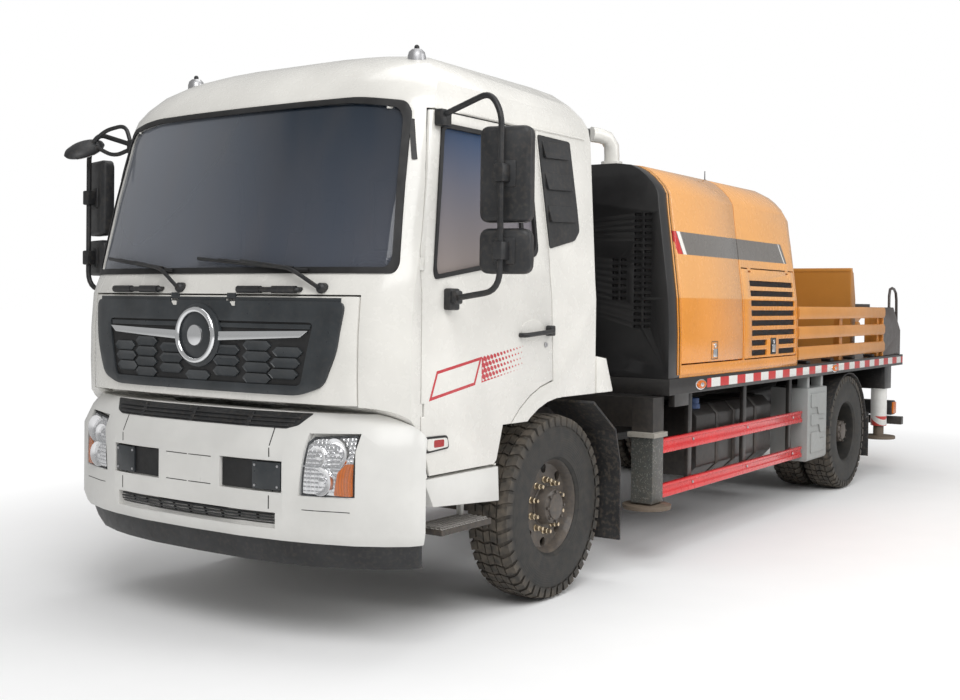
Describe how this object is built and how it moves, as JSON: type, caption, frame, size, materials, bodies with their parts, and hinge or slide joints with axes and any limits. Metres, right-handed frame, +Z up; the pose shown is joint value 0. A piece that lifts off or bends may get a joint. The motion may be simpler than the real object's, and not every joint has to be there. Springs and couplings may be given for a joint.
{
  "type": "truck-mounted concrete line pump",
  "caption": "Two-axle cab-over truck with a hooded engine, twin concrete cylinders, receiving hopper with agitator and screw jacks; it pumps concrete into a pipeline from its rear outlet.",
  "frame": {"origin": "on the ground under the middle of the overall length, on the truck's centre plane", "axes": "+X forward, +Y to the truck's left, +Z up"},
  "size_m": [8.86, 3.1696, 2.95],
  "materials": {
    "cab_paint": "semi-gloss off-white",
    "yellow_paint": "semi-gloss orange-yellow",
    "black_paint": "satin black",
    "dark_steel": "dark grey wheel and axle paint",
    "red_paint": "gloss red",
    "grey_paint": "satin grey",
    "black_plastic": "matt black plastic",
    "tyre": "dusty rubber",
    "glass": "dark tinted",
    "trim": "dark grey cab trim",
    "steel": "bare steel"
  },
  "bodies": {
    "chassis": {"frame": "black_paint", "deck": "black_paint", "outrigger_front": "black_paint", "fuel_tank": "black_paint", "battery_and_urea_box": "black_paint", "hood_frame": "black_paint", "front_axle": "dark_steel", "rear_axle": "dark_steel", "pump_unit": "dark_steel", "powertrain": "grey_paint", "tool_box": "grey_paint", "pump_engine": "grey_paint", "snorkel": "grey_paint", "bumper": "cab_paint", "step_left": "cab_paint", "step_right": "cab_paint", "intake_pipe": "cab_paint", "outrigger_rear_left": "cab_paint", "outrigger_rear_right": "cab_paint", "air_dam": "black_plastic", "front_mudguard_left": "black_plastic", "front_mudguard_right": "black_plastic", "rear_fender_left": "black_plastic", "rear_fender_right": "black_plastic", "side_guard_left": "red_paint", "side_guard_right": "red_paint", "hood_shell": "yellow_paint", "deck_rails_left": "yellow_paint", "deck_rails_right": "yellow_paint", "splash_guard": "yellow_paint", "hopper": "yellow_paint"},
    "cab": {"cab_shell": "cab_paint", "windshield": "glass", "dashboard": "trim", "seat_left": "trim", "seat_right": "trim"},
    "front_flap": {"front_flap": "black_plastic"},
    "door_left": {"door_left": "cab_paint", "mirror_left": "black_plastic"},
    "door_right": {"door_right": "cab_paint", "mirror_right": "black_plastic"},
    "knuckle_left": {"knuckle_left": "dark_steel"},
    "knuckle_right": {"knuckle_right": "dark_steel"},
    "front_wheel_left": {"front_wheel_left": "tyre"},
    "front_wheel_right": {"front_wheel_right": "tyre"},
    "rear_wheel_left": {"rear_wheel_left": "tyre"},
    "rear_wheel_right": {"rear_wheel_right": "tyre"},
    "hood_door_front_left": {"hood_door_front_left": "yellow_paint"},
    "hood_door_front_right": {"hood_door_front_right": "yellow_paint"},
    "hood_door_louvred_left": {"hood_door_louvred_left": "yellow_paint"},
    "hood_door_louvred_right": {"hood_door_louvred_right": "yellow_paint"},
    "hopper_grate": {"hopper_grate": "dark_steel"},
    "agitator": {"agitator": "steel"},
    "jack_leg_front_left": {"jack_leg_front_left": "steel"},
    "jack_leg_front_right": {"jack_leg_front_right": "steel"},
    "jack_leg_rear_left": {"jack_leg_rear_left": "steel"},
    "jack_leg_rear_right": {"jack_leg_rear_right": "steel"}
  },
  "joints": [
    {"name": "cab_tilt", "type": "hinge", "parent": "chassis", "child": "cab", "pos_m": [4.27, 0, 0.9], "axis": [0, 1, 0], "range_deg": [0, 45]},
    {"name": "front_flap_hinge", "type": "hinge", "parent": "cab", "child": "front_flap", "pos_m": [4.336, 0, 1.644], "axis": [0, -1, 0], "range_deg": [0, 65]},
    {"name": "door_left_hinge", "type": "hinge", "parent": "cab", "child": "door_left", "pos_m": [4.024, 1.122, 1.5], "axis": [0, 0, -1], "range_deg": [0, 70]},
    {"name": "door_right_hinge", "type": "hinge", "parent": "cab", "child": "door_right", "pos_m": [4.024, -1.122, 1.5], "axis": [0, 0, 1], "range_deg": [0, 70]},
    {"name": "steer_left", "type": "hinge", "parent": "chassis", "child": "knuckle_left", "pos_m": [2.77, 0.915, 0.51], "axis": [0, 0, 1], "range_deg": [-35, 35]},
    {"name": "steer_right", "type": "hinge", "parent": "chassis", "child": "knuckle_right", "pos_m": [2.77, -0.915, 0.51], "axis": [0, 0, 1], "range_deg": [-35, 35]},
    {"name": "front_wheel_left_spin", "type": "hinge", "parent": "knuckle_left", "child": "front_wheel_left", "pos_m": [2.77, 0.982, 0.51], "axis": [0, 1, 0], "continuous": true},
    {"name": "front_wheel_right_spin", "type": "hinge", "parent": "knuckle_right", "child": "front_wheel_right", "pos_m": [2.77, -0.982, 0.51], "axis": [0, 1, 0], "continuous": true},
    {"name": "rear_wheel_left_spin", "type": "hinge", "parent": "chassis", "child": "rear_wheel_left", "pos_m": [-2.23, 0.875, 0.51], "axis": [0, 1, 0], "continuous": true},
    {"name": "rear_wheel_right_spin", "type": "hinge", "parent": "chassis", "child": "rear_wheel_right", "pos_m": [-2.23, -0.875, 0.51], "axis": [0, 1, 0], "continuous": true},
    {"name": "hood_door_front_left_hinge", "type": "hinge", "parent": "chassis", "child": "hood_door_front_left", "pos_m": [0.87, 0.806, 2.549], "axis": [1, 0, 0], "range_deg": [0, 60]},
    {"name": "hood_door_front_right_hinge", "type": "hinge", "parent": "chassis", "child": "hood_door_front_right", "pos_m": [0.87, -0.806, 2.549], "axis": [-1, 0, 0], "range_deg": [0, 60]},
    {"name": "hood_door_louvred_left_hinge", "type": "hinge", "parent": "chassis", "child": "hood_door_louvred_left", "pos_m": [-0.23, 1.153, 1.893], "axis": [1, 0, 0], "range_deg": [0, 75]},
    {"name": "hood_door_louvred_right_hinge", "type": "hinge", "parent": "chassis", "child": "hood_door_louvred_right", "pos_m": [-0.23, -1.153, 1.893], "axis": [-1, 0, 0], "range_deg": [0, 75]},
    {"name": "hopper_grate_hinge", "type": "hinge", "parent": "chassis", "child": "hopper_grate", "pos_m": [-3.37, 0, 1.6623], "axis": [0, 1, 0], "range_deg": [0, 80]},
    {"name": "agitator_spin", "type": "hinge", "parent": "chassis", "child": "agitator", "pos_m": [-3.87, 0, 1.42], "axis": [0, 1, 0], "continuous": true},
    {"name": "jack_front_left_slide", "type": "slide", "parent": "chassis", "child": "jack_leg_front_left", "axis": [0, 0, -1], "range_m": [0, 0.34]},
    {"name": "jack_front_right_slide", "type": "slide", "parent": "chassis", "child": "jack_leg_front_right", "axis": [0, 0, -1], "range_m": [0, 0.34]},
    {"name": "jack_rear_left_slide", "type": "slide", "parent": "chassis", "child": "jack_leg_rear_left", "axis": [0, 0, -1], "range_m": [0, 0.34]},
    {"name": "jack_rear_right_slide", "type": "slide", "parent": "chassis", "child": "jack_leg_rear_right", "axis": [0, 0, -1], "range_m": [0, 0.34]}
  ],
  "couplings": [
    {"joint": "steer_right", "follows": "steer_left", "ratio": 1}
  ]
}
